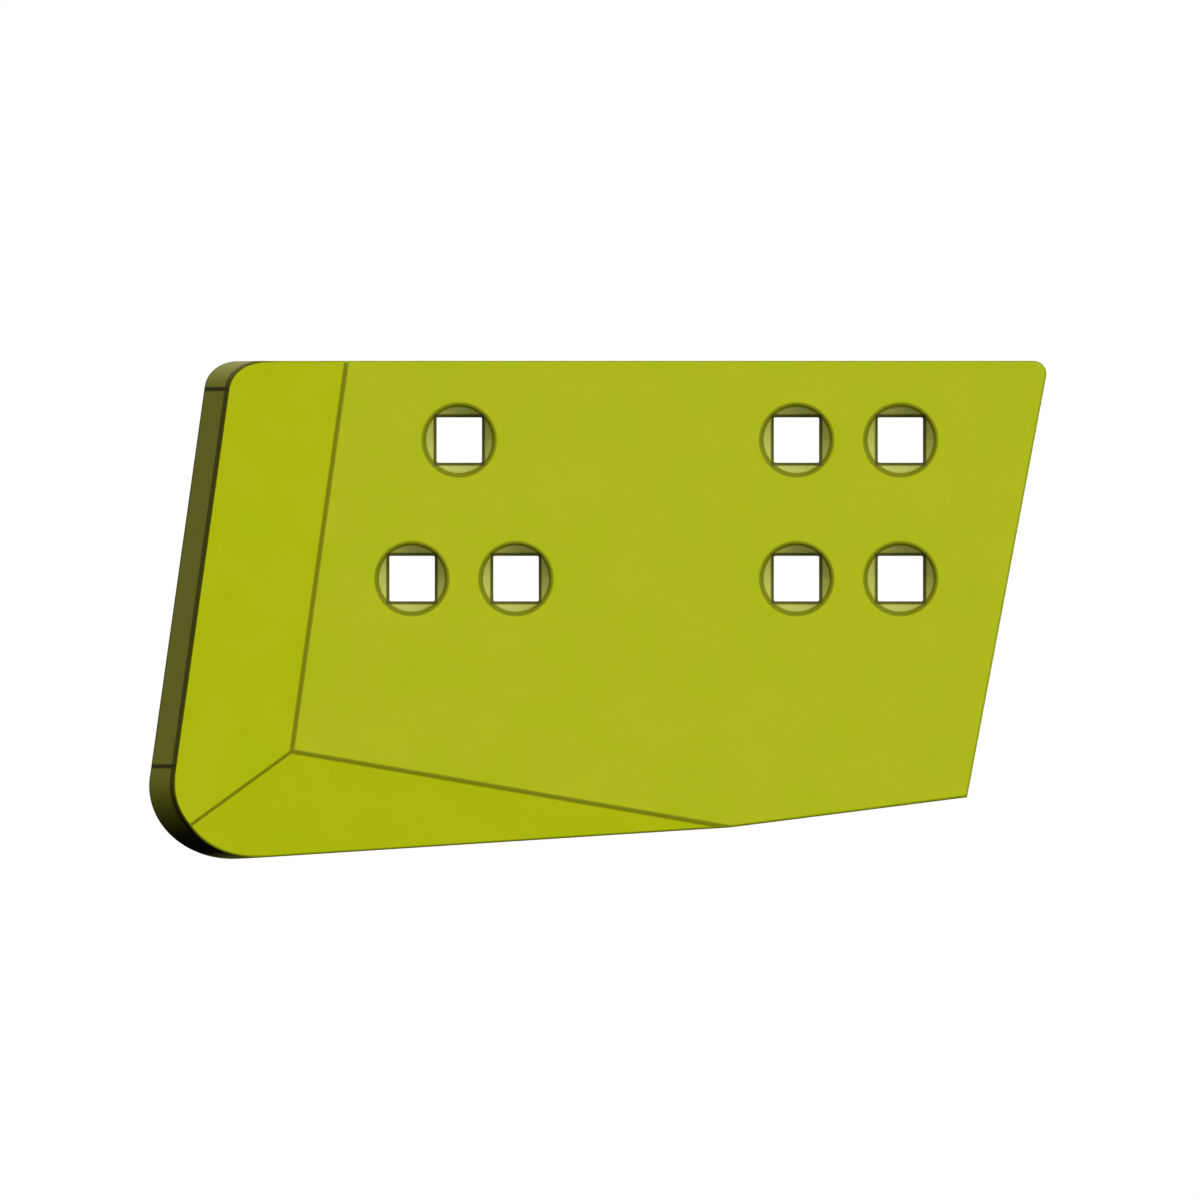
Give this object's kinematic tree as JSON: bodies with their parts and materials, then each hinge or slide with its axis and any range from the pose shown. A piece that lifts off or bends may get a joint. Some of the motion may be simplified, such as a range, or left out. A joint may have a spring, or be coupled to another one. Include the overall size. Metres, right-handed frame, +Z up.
{
  "type": "dozer end bit",
  "caption": "Right-hand bulldozer blade end bit: a thick steel plate with countersunk square bolt holes, a bevelled outboard corner and a flared end wall.",
  "frame": {"origin": "centre of the inboard group of four bolt holes, on the flat back face", "axes": "+X inboard, towards the middle of the blade; +Z up the blade; +Y out of the back face, into the blade. The worn front faces -Y."},
  "size_m": [0.658, 0.045, 0.3654],
  "materials": {
    "end_bit_paint": "satin yellow-green paint on cast steel"
  },
  "bodies": {
    "root": {"end_bit": "end_bit_paint"}
  },
  "joints": []
}
